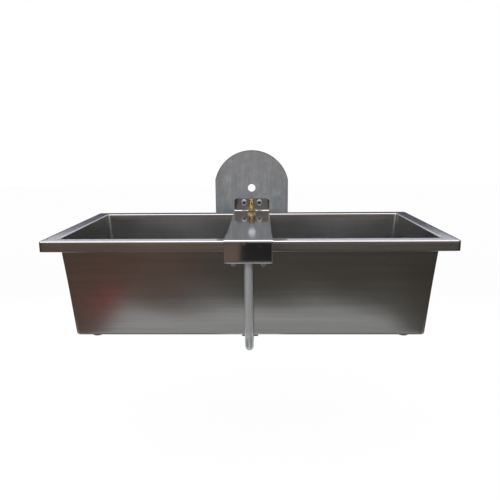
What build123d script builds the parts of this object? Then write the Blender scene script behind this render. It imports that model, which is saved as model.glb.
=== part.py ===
"""Wall-hung livestock water trough with a float valve under a bridge sheet.

Millimetres. +X runs along the trough, +Y points to the wall, +Z is up. The origin is the centre
of the round hole in the wall plate, on the plate's rear face.
"""

import os
from math import cos, radians, sin

from build123d import *

# Tub
tub_length = 1000.0
tub_width = 500.0
tub_height = 255.0
tub_sheet = 1.5
rim_width = 35.0
lip_height = 26.0
hem_height = 9.0
wall_taper = 20.0
rim_corner_r = 8.0
mouth_corner_r = 9.0
rim_bend_r = 3.0
floor_bend_r = 5.0

# Feet under the tub
foot_r = 14.0
foot_height = 5.0
foot_end_inset = 105.0
foot_inset = 22.0
foot_draft = 8.0
foot_edge_r = 1.0

# Wall plate
plate_thickness = 5.0
plate_width = 240.0
arch_extra_r = 3.0
hole_r = 12.5
hole_above_rim = 77.0
plate_below_rim = 190.0
plate_corner_r = 15.0
wall_bolt_spacing_x = 180.0
wall_bolt_spacing_z = 110.0
wall_bolt_drop = 115.0
wall_bolt_hole_r = 5.5

# Bridge
bridge_width = 116.0
bridge_sheet = 2.5
bridge_bend_r = 1.5
apron_height = 54.6
apron_gap = 0.5
return_length = 36.0
upright_height = 40.0
rim_to_upright = 30.0
upright_corner_r = 5.0
flange_depth = 25.0
flange_front_notch = 41.0
flange_rear_gap = 1.0

# Supply pipe, half-inch steel tube
pipe_r = 10.65
pipe_bore_r = 8.0
pipe_bend_r = 52.0
pipe_drop = 32.0
front_riser_inset = 17.0
rear_riser_outset = 12.0
pipe_hole_clearance = 0.6
pipe_end_gap = 0.7
socket_clearance = 0.1

# Fasteners: shank radius, nut across flats, nut height, head height, washer radius, washer thickness
m6 = {"r": 3.0, "flats": 10.0, "nut": 5.0, "head": 4.0, "washer_r": 6.0, "washer_t": 1.6}
m8 = {"r": 4.0, "flats": 13.0, "nut": 6.5, "head": 5.3, "washer_r": 8.0, "washer_t": 1.6}
m10 = {"r": 5.0, "flats": 17.0, "nut": 8.4, "washer_r": 10.0, "washer_t": 2.0}
hex_corner_share = 0.07
hex_corner_angle = 30.0
bolt_chamfer = 0.8
turned_chamfer = 1.0
hole_clearance = 0.5
thread_clearance = 0.1
thread_stickout = 3.0
stud_spacing = 50.0
stud_above_bridge = 27.0
flange_bolt_spacing = 71.0

# Pipe flange inside the apron
flange_length = 102.0
flange_width = 30.0
flange_thickness = 4.0

# Pipe clamps on the wall plate
clamp_drops = (80.0, 150.0)
clamp_height = 20.0
clamp_length = 60.0
clamp_strap = 2.0
clamp_bolt_spacing = 42.0
clamp_bolt_end_gap = 0.5

# Saddle pads under the tub
saddle_length = 40.0
saddle_width = 44.0
saddle_inset = 95.0
block_corner_r = 4.0

# Inlet fitting with a half-inch male thread
thread_r = 10.48
inlet_flats = 25.0
inlet_hex_height = 11.0
inlet_thread_length = 28.0
inlet_bore_r = 7.5
inlet_washer_r = 14.0
inlet_washer_t = 1.5
pipe_engagement = 8.0

# Elbow and wall passage of the float valve
valve_drop = 28.0
elbow_r = 12.5
elbow_bend_r = 13.0
elbow_band_r = 13.7
elbow_band = 4.0
elbow_bore_r = 7.0
elbow_flange_gap = 2.0
seal_thickness = 3.2
seal_r = 15.0
backnut_flats = 30.0
backnut_height = 7.0
tail_bore_r = 4.0
tail_gap = 2.0

# Float valve body
valve_r = 12.5
chamber_r = 8.5
chamber_length = 51.0
body_gap = 1.0
inlet_wall = 10.0
seat_flange = 2.0
seat_nozzle = 4.0
seat_nozzle_r = 4.5
seat_bore_r = 3.0
outlet_offset = 8.5
outlet_r = 6.0
outlet_bore_r = 4.2
outlet_length = 12.0
cap_thickness = 3.0
cap_spigot = 4.0
cap_sides = 12
ear_thickness = 4.0
ear_gap = 7.0
ear_r = 7.0

# Piston
piston_clearance = 0.05
piston_length = 30.0
piston_slot = 18.0
closed_gap = 0.2
disc_thickness = 3.0
disc_r = 6.5

# Float lever. The angles are measured from level, and from upright for the nose
hang_angle = 35.0
closed_angle = 5.0
nose_length = 19.0
nose_tip_r = 4.0
nose_thickness = 3.0
nose_clearance = 0.15
lever_width = 6.0
lever_hub_r = 6.0
pin_r = 2.5
pin_clearance = 0.05
pin_head_r = 4.0
pin_head = 2.0
pin_head_edge_r = 1.2
pin_clip_t = 1.0
pin_past_clip = 1.5
boss_r = 5.0
boss_length = 14.0
boss_start = 8.0
boss_step = 1.0
rod_r = 3.0
arm_length = 185.0
ball_r = 50.0
ball_wall = 2.0
ball_seam = 1.0
ball_boss_r = 9.0
ball_boss = 8.0
ball_insert = 16.0

# Drain
drain_end_inset = 120.0
drain_thread_r = 20.95
drain_bore_r = 17.5
drain_flange_r = 30.0
drain_flange_t = 2.5
drain_edge_r = 1.5
drain_stub = 28.0
drain_spigot_r = 20.0
drain_thread_past_nut = 1.0
drain_seal_t = 2.5
drain_nut_flats = 52.0
drain_nut_height = 9.0
bung_clearance = 0.3
bung_length = 20.0
bung_taper = 1.2
bung_end_chamfer = 1.0
bung_head_r = 22.0
bung_head = 5.0
bung_head_chamfer = 2.0
bung_neck_r = 5.4
bung_neck = 6.0
bung_knob_r = 9.0

# How far a cutting form stands past the face that it cuts
cut_margin = 1.0

# Levels and depths worked out from the sizes above
rim_z = -hole_above_rim
floor_z = rim_z - tub_height
plate_front_y = -plate_thickness
upright_front_y = plate_front_y - bridge_sheet
rear_rim_y = upright_front_y - rim_to_upright
front_rim_y = rear_rim_y - tub_width
tub_y = (rear_rim_y + front_rim_y) / 2
foot_x = tub_length / 2 - foot_end_inset
drain_x = drain_end_inset - tub_length / 2
plate_half = plate_width / 2
arch_r = plate_half + arch_extra_r
bridge_top_z = rim_z + bridge_sheet
front_riser_y = front_rim_y + front_riser_inset
rear_riser_y = rear_rim_y + rear_riser_outset
run_z = floor_z - pipe_drop
return_bottom_z = rim_z - apron_height
return_top_z = return_bottom_z + bridge_sheet
valve_z = rim_z - valve_drop
stud_z = bridge_top_z + stud_above_bridge
pipe_hole_r = pipe_r + pipe_hole_clearance

# The front wall leans, so its place depends on the level
wall_slope = wall_taper / tub_height
wall_y = front_rim_y + rim_width + wall_slope * valve_drop
elbow_face_y = wall_y - seal_thickness
inner_wall_y = wall_y + tub_sheet
backnut_y = inner_wall_y + seal_thickness
body_y = backnut_y + backnut_height + body_gap
chamber_y = body_y + inlet_wall

# The nose of the lever swings evenly to both sides of upright and pushes the piston
swing = hang_angle - closed_angle
nose_lean = swing / 2
piston_stroke = 2 * nose_length * sin(radians(nose_lean))
closed_face_y = chamber_y + seat_flange + seat_nozzle + closed_gap
piston_face_y = closed_face_y + piston_stroke
slot_y = piston_face_y + piston_slot
pivot_y = slot_y - nose_length * sin(radians(nose_lean))
pivot_z = valve_z - nose_length
valve_end_y = chamber_y + chamber_length


def level(z, x=0.0, y=0.0):
    """Level plane at height z, centred on x and y."""
    return Plane(origin=(x, y, z))


def facing_wall(y, x=0.0, z=0.0):
    """Upright plane at depth y whose normal points to the wall."""
    return Plane(origin=(x, y, z), x_dir=(1, 0, 0), z_dir=(0, 1, 0))


def hexagon(flats, height, bore_r=0.0):
    """Hex blank with turned corners, on the XY plane, with corners along Y."""
    with BuildPart() as blank:
        Cylinder(flats / 3**0.5, height, align=(Align.CENTER, Align.CENTER, Align.MIN))
        chamfer(blank.edges().filter_by(GeomType.CIRCLE), hex_corner_share * flats, angle=hex_corner_angle)
        with BuildSketch():
            RegularPolygon(flats / 2, 6, major_radius=False, rotation=30)
        extrude(amount=height, mode=Mode.INTERSECT)
        if bore_r:
            Hole(bore_r)
    return blank.part


def hex_bolt(size, length):
    """Hex bolt with the underside of its head on the XY plane and its shank down."""
    with BuildPart() as bolt:
        add(hexagon(size["flats"], size["head"]))
        with BuildSketch():
            Circle(size["r"])
        extrude(amount=-length)
        chamfer(bolt.faces().sort_by(Axis.Z)[0].edges(), bolt_chamfer)
    return bolt.part


def washer(size):
    """Flat washer on the XY plane."""
    with BuildPart() as ring:
        with BuildSketch():
            Circle(size["washer_r"])
            Circle(size["r"] + thread_clearance, mode=Mode.SUBTRACT)
        extrude(amount=size["washer_t"])
    return ring.part


def save(piece, name):
    """Label a finished sub-part and write its file."""
    piece.part.label = name
    export_step(piece.part, f"parts/{name}.step")


os.makedirs("parts", exist_ok=True)

# Tub: the hollow under the rim and the cavity are made first and taken out of the outer forms
hollow_length = tub_length - 2 * tub_sheet
hollow_width = tub_width - 2 * tub_sheet
with BuildPart() as rim_hollow:
    with BuildSketch(level(rim_z - tub_sheet, y=tub_y)):
        RectangleRounded(hollow_length, hollow_width, rim_corner_r - tub_sheet)
    extrude(amount=-(lip_height - hem_height - tub_sheet))
    fillet(rim_hollow.faces().sort_by(Axis.Z)[-1].edges(), rim_bend_r - tub_sheet)
    with BuildSketch(level(rim_z - lip_height + hem_height, y=tub_y)):
        RectangleRounded(
            hollow_length - 2 * tub_sheet, hollow_width - 2 * tub_sheet, rim_corner_r - 2 * tub_sheet
        )
    extrude(amount=-hem_height)

mouth_length = tub_length - 2 * rim_width
mouth_width = tub_width - 2 * rim_width
with BuildPart() as tub_shape:
    for z, lean in ((rim_z, 0.0), (floor_z, wall_taper)):
        with BuildSketch(level(z, y=tub_y)):
            RectangleRounded(mouth_length - 2 * lean, mouth_width - 2 * lean, mouth_corner_r)
    loft(ruled=True)
    fillet(tub_shape.faces().sort_by(Axis.Z)[0].edges(), floor_bend_r)

cavity_lean = wall_taper - wall_slope * tub_sheet
with BuildPart() as tub_cavity:
    for z, lean in ((rim_z, 0.0), (floor_z + tub_sheet, cavity_lean)):
        with BuildSketch(level(z, y=tub_y)):
            RectangleRounded(
                mouth_length - 2 * (lean + tub_sheet),
                mouth_width - 2 * (lean + tub_sheet),
                mouth_corner_r - tub_sheet,
            )
    loft(ruled=True)
    fillet(tub_cavity.faces().sort_by(Axis.Z)[0].edges(), floor_bend_r - tub_sheet)

with BuildPart() as tub:
    with BuildSketch(level(rim_z, y=tub_y)):
        RectangleRounded(tub_length, tub_width, rim_corner_r)
    extrude(amount=-lip_height)
    fillet(tub.faces().sort_by(Axis.Z)[-1].edges(), rim_bend_r)
    fillet(tub.faces().sort_by(Axis.Z)[0].edges(), tub_sheet)
    add(rim_hollow.part, mode=Mode.SUBTRACT)
    add(tub_shape.part)
    add(tub_cavity.part, mode=Mode.SUBTRACT)
    fillet(tub.faces().sort_by(Axis.Z)[-1].inner_wires()[0].edges(), rim_bend_r)
    # hole for the float valve's tail
    with BuildSketch(facing_wall(front_rim_y + rim_width - cut_margin, z=valve_z)):
        Circle(thread_r + hole_clearance)
    extrude(amount=wall_taper, mode=Mode.SUBTRACT)
    # hole for the drain
    with BuildSketch(level(floor_z - cut_margin, drain_x, tub_y)):
        Circle(drain_thread_r + hole_clearance)
    extrude(amount=tub_sheet + 2 * cut_margin, mode=Mode.SUBTRACT)
save(tub, "tub")

# Feet: four rubber buffers near the corners of the floor
foot_spacing_y = tub_width - 2 * (rim_width + wall_taper + foot_inset)
with BuildPart() as tub_feet:
    with BuildSketch(level(floor_z, y=tub_y)):
        with GridLocations(2 * foot_x, foot_spacing_y, 2, 2):
            Circle(foot_r)
    extrude(amount=-foot_height, taper=foot_draft)
    fillet(tub_feet.faces().filter_by(Axis.Z).sort_by(Axis.Z)[:4].edges(), foot_edge_r)
save(tub_feet, "tub_feet")

# Wall plate: straight sides with an arch struck from the hole's centre
arch_spring_z = (arch_r**2 - plate_half**2) ** 0.5
plate_bottom_z = rim_z - plate_below_rim
clamp_zs = [rim_z - drop for drop in clamp_drops]
clamp_bolt_places = [(x, z) for z in clamp_zs for x in (-clamp_bolt_spacing / 2, clamp_bolt_spacing / 2)]
with BuildPart() as wall_plate:
    with BuildSketch(Plane.XZ):
        with BuildLine():
            sides = Polyline(
                (-plate_half, arch_spring_z),
                (-plate_half, plate_bottom_z),
                (plate_half, plate_bottom_z),
                (plate_half, arch_spring_z),
            )
            ThreePointArc(sides @ 0, (0, arch_r), sides @ 1)
        plate_face = make_face()
        fillet(plate_face.vertices().group_by(Axis.Z)[0], plate_corner_r)
        Circle(hole_r, mode=Mode.SUBTRACT)
        with Locations((0, rim_z - wall_bolt_drop)):
            with GridLocations(wall_bolt_spacing_x, wall_bolt_spacing_z, 2, 2):
                Circle(wall_bolt_hole_r, mode=Mode.SUBTRACT)
        with Locations(*clamp_bolt_places):
            Circle(m6["r"] + thread_clearance, mode=Mode.SUBTRACT)
    extrude(amount=plate_thickness)
save(wall_plate, "wall_plate")

# Studs on the wall plate, with a washer and a nut each
stud_xs = (-stud_spacing / 2, stud_spacing / 2)
stud_length = bridge_sheet + m10["washer_t"] + m10["nut"] + thread_stickout
with BuildPart() as plate_studs:
    with BuildSketch(facing_wall(plate_front_y, z=stud_z)):
        with GridLocations(stud_spacing, 0, 2, 1):
            Circle(m10["r"])
    extrude(amount=-stud_length)
    chamfer(plate_studs.faces().sort_by(Axis.Y)[:2].edges(), turned_chamfer)
save(plate_studs, "plate_studs")

with BuildPart() as stud_washers:
    with Locations(*[Location((x, upright_front_y, stud_z), (90, 0, 0)) for x in stud_xs]):
        add(washer(m10))
save(stud_washers, "stud_washers")

stud_nut_y = upright_front_y - m10["washer_t"]
with BuildPart() as stud_nuts:
    with Locations(*[Location((x, stud_nut_y, stud_z), (90, 0, 0)) for x in stud_xs]):
        add(hexagon(m10["flats"], m10["nut"], m10["r"] + thread_clearance))
save(stud_nuts, "stud_nuts")

# Bridge: one bent sheet, traced along its middle line, with a flange down each side
half_sheet = bridge_sheet / 2
apron_y = front_rim_y - apron_gap - half_sheet
return_end_y = apron_y - half_sheet + return_length
bolt_half = flange_bolt_spacing / 2
flange_start_y = front_rim_y + rim_width + flange_front_notch
flange_end_y = rear_rim_y - rim_width - tub_sheet - wall_slope * flange_depth - flange_rear_gap
with BuildPart() as bridge:
    with BuildSketch(Plane.YZ):
        with BuildLine():
            FilletPolyline(
                (return_end_y, return_bottom_z + half_sheet),
                (apron_y, return_bottom_z + half_sheet),
                (apron_y, rim_z + half_sheet),
                (upright_front_y + half_sheet, rim_z + half_sheet),
                (upright_front_y + half_sheet, bridge_top_z + upright_height),
                radius=bridge_bend_r + half_sheet,
            )
        trace(line_width=bridge_sheet)
    extrude(amount=bridge_width / 2, both=True)
    fillet(bridge.edges().filter_by(Axis.Y).group_by(Axis.Z)[-1], upright_corner_r)
    with BuildSketch(level(bridge_top_z, y=(flange_start_y + flange_end_y) / 2)):
        with GridLocations(bridge_width - bridge_sheet, 0, 2, 1):
            Rectangle(bridge_sheet, flange_end_y - flange_start_y)
    extrude(amount=-(bridge_sheet + flange_depth))
    # holes: studs in the upright, pipe in the top, pipe and bolts in the return
    with BuildSketch(facing_wall(upright_front_y - cut_margin, z=stud_z)):
        with GridLocations(stud_spacing, 0, 2, 1):
            Circle(m10["r"] + hole_clearance)
    extrude(amount=bridge_sheet + 2 * cut_margin, mode=Mode.SUBTRACT)
    with BuildSketch(level(rim_z - cut_margin, y=rear_riser_y)):
        Circle(pipe_hole_r)
    extrude(amount=bridge_sheet + 2 * cut_margin, mode=Mode.SUBTRACT)
    with BuildSketch(level(return_bottom_z - cut_margin, y=front_riser_y)):
        Circle(pipe_hole_r)
        with GridLocations(flange_bolt_spacing, 0, 2, 1):
            Circle(m8["r"] + hole_clearance)
    extrude(amount=bridge_sheet + 2 * cut_margin, mode=Mode.SUBTRACT)
save(bridge, "bridge")

# Supply pipe: down behind the rear rim, under the tub and up into the apron
front_pipe_top_z = valve_z - thread_r - pipe_end_gap
inlet_z = bridge_top_z + inlet_washer_t
rear_pipe_top_z = inlet_z + pipe_engagement
with BuildPart() as supply_pipe:
    with BuildLine(Plane.YZ):
        pipe_line = FilletPolyline(
            (front_riser_y, front_pipe_top_z),
            (front_riser_y, run_z),
            (rear_riser_y, run_z),
            (rear_riser_y, rear_pipe_top_z),
            radius=pipe_bend_r,
        )
    with BuildSketch(Plane(origin=pipe_line @ 0, z_dir=pipe_line % 0)):
        Circle(pipe_r)
        Circle(pipe_bore_r, mode=Mode.SUBTRACT)
    sweep(path=pipe_line)
save(supply_pipe, "supply_pipe")

# Flange welded round the front riser. It lies on the apron's return
with BuildPart() as pipe_flange:
    with BuildSketch(level(return_top_z, y=front_riser_y)):
        RectangleRounded(flange_length, flange_width, block_corner_r)
        Circle(pipe_r + socket_clearance, mode=Mode.SUBTRACT)
        with GridLocations(flange_bolt_spacing, 0, 2, 1):
            Circle(m8["r"] + hole_clearance, mode=Mode.SUBTRACT)
    extrude(amount=flange_thickness)
save(pipe_flange, "pipe_flange")

flange_top_z = return_top_z + flange_thickness
flange_bolt_length = (
    flange_thickness + bridge_sheet + m8["washer_t"] + m8["nut"] + thread_stickout
)
with BuildPart() as flange_bolts:
    with Locations((-bolt_half, front_riser_y, flange_top_z), (bolt_half, front_riser_y, flange_top_z)):
        add(hex_bolt(m8, flange_bolt_length))
save(flange_bolts, "flange_bolts")

flange_washer_z = return_bottom_z - m8["washer_t"]
with BuildPart() as flange_washers:
    with Locations((-bolt_half, front_riser_y, flange_washer_z), (bolt_half, front_riser_y, flange_washer_z)):
        add(washer(m8))
save(flange_washers, "flange_washers")

flange_nut_z = flange_washer_z - m8["nut"]
with BuildPart() as flange_nuts:
    with Locations((-bolt_half, front_riser_y, flange_nut_z), (bolt_half, front_riser_y, flange_nut_z)):
        add(hexagon(m8["flats"], m8["nut"], m8["r"] + thread_clearance))
save(flange_nuts, "flange_nuts")

# Saddle pads: blocks that sit on the pipe's level run and carry the tub
saddle_ys = (
    front_rim_y + rim_width + wall_taper + saddle_inset,
    rear_rim_y - rim_width - wall_taper - saddle_inset,
)
with BuildPart() as saddle_pads:
    with BuildSketch(level(run_z)):
        with Locations(*[(0, y) for y in saddle_ys]):
            RectangleRounded(saddle_width, saddle_length, block_corner_r)
    extrude(amount=pipe_drop)
    with BuildSketch(facing_wall(saddle_ys[0] - saddle_length, z=run_z)):
        Circle(pipe_r + socket_clearance)
    extrude(amount=saddle_ys[1] - saddle_ys[0] + 2 * saddle_length, mode=Mode.SUBTRACT)
save(saddle_pads, "saddle_pads")

# Clamps: a spacer block against the plate and a strap round the rear riser
clamp_planes = [level(z - clamp_height / 2, y=rear_riser_y) for z in clamp_zs]
clamp_reach = plate_front_y - rear_riser_y
with BuildPart() as clamp_spacers:
    with BuildSketch(*clamp_planes):
        with Locations((0, clamp_reach / 2)):
            Rectangle(clamp_length, clamp_reach)
        Circle(pipe_r + socket_clearance, mode=Mode.SUBTRACT)
    extrude(amount=clamp_height)
    for x, z in clamp_bolt_places:
        with BuildSketch(facing_wall(rear_riser_y - cut_margin, x, z)):
            Circle(m6["r"] + hole_clearance)
        extrude(amount=clamp_reach + 2 * cut_margin, mode=Mode.SUBTRACT)
save(clamp_spacers, "clamp_spacers")

strap_r = pipe_r + socket_clearance + clamp_strap
with BuildPart() as pipe_clamps:
    with BuildSketch(*clamp_planes):
        Circle(strap_r)
        with Locations((0, -clamp_strap / 2)):
            Rectangle(clamp_length, clamp_strap)
        with Locations((0, strap_r)):
            Rectangle(2 * (strap_r + cut_margin), 2 * strap_r, mode=Mode.SUBTRACT)
        Circle(pipe_r + socket_clearance, mode=Mode.SUBTRACT)
    extrude(amount=clamp_height)
    for x, z in clamp_bolt_places:
        with BuildSketch(facing_wall(rear_riser_y - clamp_strap - cut_margin, x, z)):
            Circle(m6["r"] + hole_clearance)
        extrude(amount=clamp_strap + 2 * cut_margin, mode=Mode.SUBTRACT)
save(pipe_clamps, "pipe_clamps")

clamp_head_y = rear_riser_y - clamp_strap
clamp_bolt_length = clamp_strap + clamp_reach + plate_thickness - clamp_bolt_end_gap
with BuildPart() as clamp_bolts:
    with Locations(*[Location((x, clamp_head_y, z), (90, 0, 0)) for x, z in clamp_bolt_places]):
        add(hex_bolt(m6, clamp_bolt_length))
save(clamp_bolts, "clamp_bolts")

# Inlet: a fibre washer and a brass adaptor on the pipe's rear end
with BuildPart() as inlet_washer:
    with BuildSketch(level(bridge_top_z, y=rear_riser_y)):
        Circle(inlet_washer_r)
        Circle(pipe_r + socket_clearance, mode=Mode.SUBTRACT)
    extrude(amount=inlet_washer_t)
save(inlet_washer, "inlet_washer")

with BuildPart() as inlet_adaptor:
    with Locations((0, rear_riser_y, inlet_z)):
        add(hexagon(inlet_flats, inlet_hex_height))
    with BuildSketch(level(inlet_z + inlet_hex_height, y=rear_riser_y)):
        Circle(thread_r)
    extrude(amount=inlet_thread_length)
    chamfer(inlet_adaptor.faces().sort_by(Axis.Z)[-1].edges(), turned_chamfer)
    with BuildSketch(level(inlet_z, y=rear_riser_y)):
        Circle(inlet_bore_r)
    extrude(amount=inlet_hex_height + inlet_thread_length, mode=Mode.SUBTRACT)
    with BuildSketch(level(inlet_z, y=rear_riser_y)):
        Circle(pipe_r + socket_clearance)
    extrude(amount=pipe_engagement, mode=Mode.SUBTRACT)
save(inlet_adaptor, "inlet_adaptor")

# Elbow: from the front riser into the front wall
elbow_bottom_z = flange_top_z + elbow_flange_gap
tail_start_y = front_riser_y + elbow_bore_r + tail_gap
elbow_bend_z = valve_z - elbow_bend_r
elbow_bend_y = front_riser_y + elbow_bend_r
elbow_bend_axis = Axis((0, elbow_bend_y, elbow_bend_z), (-1, 0, 0))
with BuildPart() as valve_elbow:
    with BuildSketch(level(elbow_bend_z, y=front_riser_y)):
        Circle(elbow_r)
    extrude(amount=elbow_bottom_z - elbow_bend_z)
    with BuildSketch(level(elbow_bend_z, y=front_riser_y)):
        Circle(elbow_r)
    revolve(axis=elbow_bend_axis, revolution_arc=90)
    with BuildSketch(facing_wall(elbow_bend_y, z=valve_z)):
        Circle(elbow_r)
    extrude(amount=elbow_face_y - elbow_bend_y)
    # a band round each mouth
    with BuildSketch(level(elbow_bottom_z, y=front_riser_y)):
        Circle(elbow_band_r)
    extrude(amount=elbow_band)
    with BuildSketch(facing_wall(elbow_face_y - elbow_band, z=valve_z)):
        Circle(elbow_band_r)
    extrude(amount=elbow_band)
    # waterway round the bend, socket for the pipe and socket for the valve's tail
    with BuildSketch(level(elbow_bend_z, y=front_riser_y)):
        Circle(elbow_bore_r)
    revolve(axis=elbow_bend_axis, revolution_arc=90, mode=Mode.SUBTRACT)
    with BuildSketch(level(elbow_bottom_z, y=front_riser_y)):
        Circle(elbow_bore_r)
    extrude(amount=elbow_bend_z - elbow_bottom_z, mode=Mode.SUBTRACT)
    with BuildSketch(level(elbow_bottom_z, y=front_riser_y)):
        Circle(pipe_r + socket_clearance)
    extrude(amount=front_pipe_top_z - elbow_bottom_z, mode=Mode.SUBTRACT)
    with BuildSketch(facing_wall(tail_start_y, z=valve_z)):
        Circle(thread_r + thread_clearance)
    extrude(amount=elbow_face_y - tail_start_y, mode=Mode.SUBTRACT)
save(valve_elbow, "valve_elbow")

# Seals on both sides of the leaning wall, cut to its angle
wall_normal = Vector(0, -tub_height, -wall_taper).normalized()
outer_wall_plane = Plane(origin=(0, wall_y, valve_z), x_dir=(1, 0, 0), z_dir=wall_normal)
inner_wall_plane = Plane(origin=(0, inner_wall_y, valve_z), x_dir=(1, 0, 0), z_dir=wall_normal)
with BuildPart() as outer_seal:
    with BuildSketch(facing_wall(elbow_face_y, z=valve_z)):
        Circle(seal_r)
        Circle(thread_r + thread_clearance, mode=Mode.SUBTRACT)
    extrude(amount=2 * seal_thickness)
    split(bisect_by=outer_wall_plane, keep=Keep.TOP)
save(outer_seal, "outer_seal")

with BuildPart() as inner_seal:
    with BuildSketch(facing_wall(backnut_y, z=valve_z)):
        Circle(seal_r)
        Circle(thread_r + thread_clearance, mode=Mode.SUBTRACT)
    extrude(amount=-2 * seal_thickness)
    split(bisect_by=inner_wall_plane, keep=Keep.BOTTOM)
save(inner_seal, "inner_seal")

with BuildPart() as valve_backnut:
    with Locations(Location((0, backnut_y, valve_z), (-90, 0, 0))):
        add(hexagon(backnut_flats, backnut_height, thread_r + thread_clearance))
save(valve_backnut, "valve_backnut")

# Valve body: turned tail and barrel, outlet below, a slot and two ears for the lever
valve_axis = Axis((0, 0, valve_z), (0, 1, 0))
with BuildPart() as valve_body:
    with BuildSketch(Plane.YZ):
        with BuildLine():
            Polyline(
                (tail_start_y, valve_z),
                (tail_start_y, valve_z + thread_r),
                (body_y, valve_z + thread_r),
                (body_y, valve_z + valve_r - turned_chamfer),
                (body_y + turned_chamfer, valve_z + valve_r),
                (valve_end_y - turned_chamfer, valve_z + valve_r),
                (valve_end_y, valve_z + valve_r - turned_chamfer),
                (valve_end_y, valve_z),
                close=True,
            )
        make_face()
    revolve(axis=valve_axis)
    with BuildSketch(level(valve_z, y=chamber_y + outlet_offset)):
        Circle(outlet_r)
    extrude(amount=-(valve_r + outlet_length))
    with BuildSketch(Plane.YZ):
        with Locations((pivot_y, pivot_z)):
            Circle(ear_r)
        with Locations((pivot_y, (pivot_z + valve_z) / 2)):
            Rectangle(2 * ear_r, valve_z - pivot_z)
    extrude(amount=ear_gap / 2 + ear_thickness, both=True)
    with BuildSketch(facing_wall(chamber_y, z=valve_z)):
        Circle(chamber_r)
    extrude(amount=chamber_length, mode=Mode.SUBTRACT)
    with BuildSketch(facing_wall(tail_start_y, z=valve_z)):
        Circle(tail_bore_r)
    extrude(amount=chamber_y - tail_start_y, mode=Mode.SUBTRACT)
    with BuildSketch(level(valve_z, y=chamber_y + outlet_offset)):
        Circle(outlet_bore_r)
    extrude(amount=-(valve_r + outlet_length), mode=Mode.SUBTRACT)
    with BuildSketch(level(valve_z, y=pivot_y)):
        Rectangle(ear_gap, 2 * ear_r)
    extrude(amount=pivot_z - ear_r - cut_margin - valve_z, mode=Mode.SUBTRACT)
    with BuildSketch(Plane.YZ):
        with Locations((pivot_y, pivot_z)):
            Circle(pin_r + thread_clearance)
    extrude(amount=ear_gap / 2 + ear_thickness, both=True, mode=Mode.SUBTRACT)
save(valve_body, "valve_body")

with BuildPart() as valve_seat:
    with BuildSketch(facing_wall(chamber_y, z=valve_z)):
        Circle(chamber_r - thread_clearance)
    extrude(amount=seat_flange)
    with BuildSketch(facing_wall(chamber_y + seat_flange, z=valve_z)):
        Circle(seat_nozzle_r)
    extrude(amount=seat_nozzle)
    chamfer(valve_seat.faces().sort_by(Axis.Y)[-1].edges(), bolt_chamfer)
    with BuildSketch(facing_wall(chamber_y, z=valve_z)):
        Circle(seat_bore_r)
    extrude(amount=seat_flange + seat_nozzle, mode=Mode.SUBTRACT)
save(valve_seat, "valve_seat")

with BuildPart() as valve_end_cap:
    with BuildSketch(facing_wall(valve_end_y - cap_spigot, z=valve_z)):
        Circle(chamber_r - thread_clearance)
    extrude(amount=cap_spigot)
    with BuildSketch(facing_wall(valve_end_y, z=valve_z)):
        Circle(valve_r)
        RegularPolygon(valve_r, cap_sides, mode=Mode.INTERSECT)
    extrude(amount=cap_thickness)
save(valve_end_cap, "valve_end_cap")

# Lever pin through both ears, held by a clip
ear_outer_x = ear_gap / 2 + ear_thickness
pin_tail = pin_clip_t + pin_past_clip
with BuildPart() as lever_pin:
    with BuildSketch(Plane(origin=(-ear_outer_x, pivot_y, pivot_z), z_dir=(1, 0, 0))):
        Circle(pin_r)
    extrude(amount=2 * ear_outer_x + pin_tail)
    with BuildSketch(Plane(origin=(-ear_outer_x, pivot_y, pivot_z), z_dir=(-1, 0, 0))):
        Circle(pin_head_r)
    extrude(amount=pin_head)
    fillet(lever_pin.faces().sort_by(Axis.X)[0].edges(), pin_head_edge_r)
save(lever_pin, "lever_pin")

with BuildPart() as pin_clip:
    with BuildSketch(Plane(origin=(ear_outer_x, pivot_y, pivot_z), z_dir=(1, 0, 0))):
        Circle(pin_head_r)
        Circle(pin_r + thread_clearance, mode=Mode.SUBTRACT)
        with Locations((0, -pin_head_r)):
            Rectangle(pin_r, 2 * pin_head_r, mode=Mode.SUBTRACT)
    extrude(amount=pin_clip_t)
save(pin_clip, "pin_clip")

# Piston with a slot for the lever's nose and a rubber disc let into its face
piston_r = chamber_r - piston_clearance
slot_half = nose_tip_r + nose_clearance
with BuildPart() as valve_piston:
    with BuildSketch(facing_wall(piston_face_y, z=valve_z)):
        Circle(piston_r)
    extrude(amount=piston_length)
    chamfer(valve_piston.faces().sort_by(Axis.Y)[-1].edges(), bolt_chamfer)
    with BuildSketch(facing_wall(piston_face_y, z=valve_z)):
        Circle(disc_r)
    extrude(amount=disc_thickness, mode=Mode.SUBTRACT)
    with BuildSketch(Plane.YZ):
        with Locations((slot_y, valve_z)):
            Circle(slot_half)
        with Locations((slot_y, valve_z - piston_r / 2)):
            Rectangle(2 * slot_half, piston_r)
    extrude(amount=ear_gap / 2, both=True, mode=Mode.SUBTRACT)
save(valve_piston, "valve_piston")

with BuildPart() as piston_washer:
    with BuildSketch(facing_wall(piston_face_y, z=valve_z)):
        Circle(disc_r - thread_clearance)
    extrude(amount=disc_thickness)
save(piston_washer, "piston_washer")

# Lever side plane: its x axis runs from the pin along the arm, and its y axis points up
arm_dir = Vector(0, cos(radians(hang_angle)), -sin(radians(hang_angle)))
arm_side = Plane(origin=(0, pivot_y, pivot_z), x_dir=arm_dir, z_dir=(1, 0, 0))
nose_angle = 90.0 + hang_angle - nose_lean
nose_tip = (nose_length * cos(radians(nose_angle)), nose_length * sin(radians(nose_angle)))


def across_arm(distance):
    """Plane square to the arm at a distance from the pin."""
    return Plane(origin=Vector(0, pivot_y, pivot_z) + arm_dir * distance, x_dir=(1, 0, 0), z_dir=arm_dir)


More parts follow.
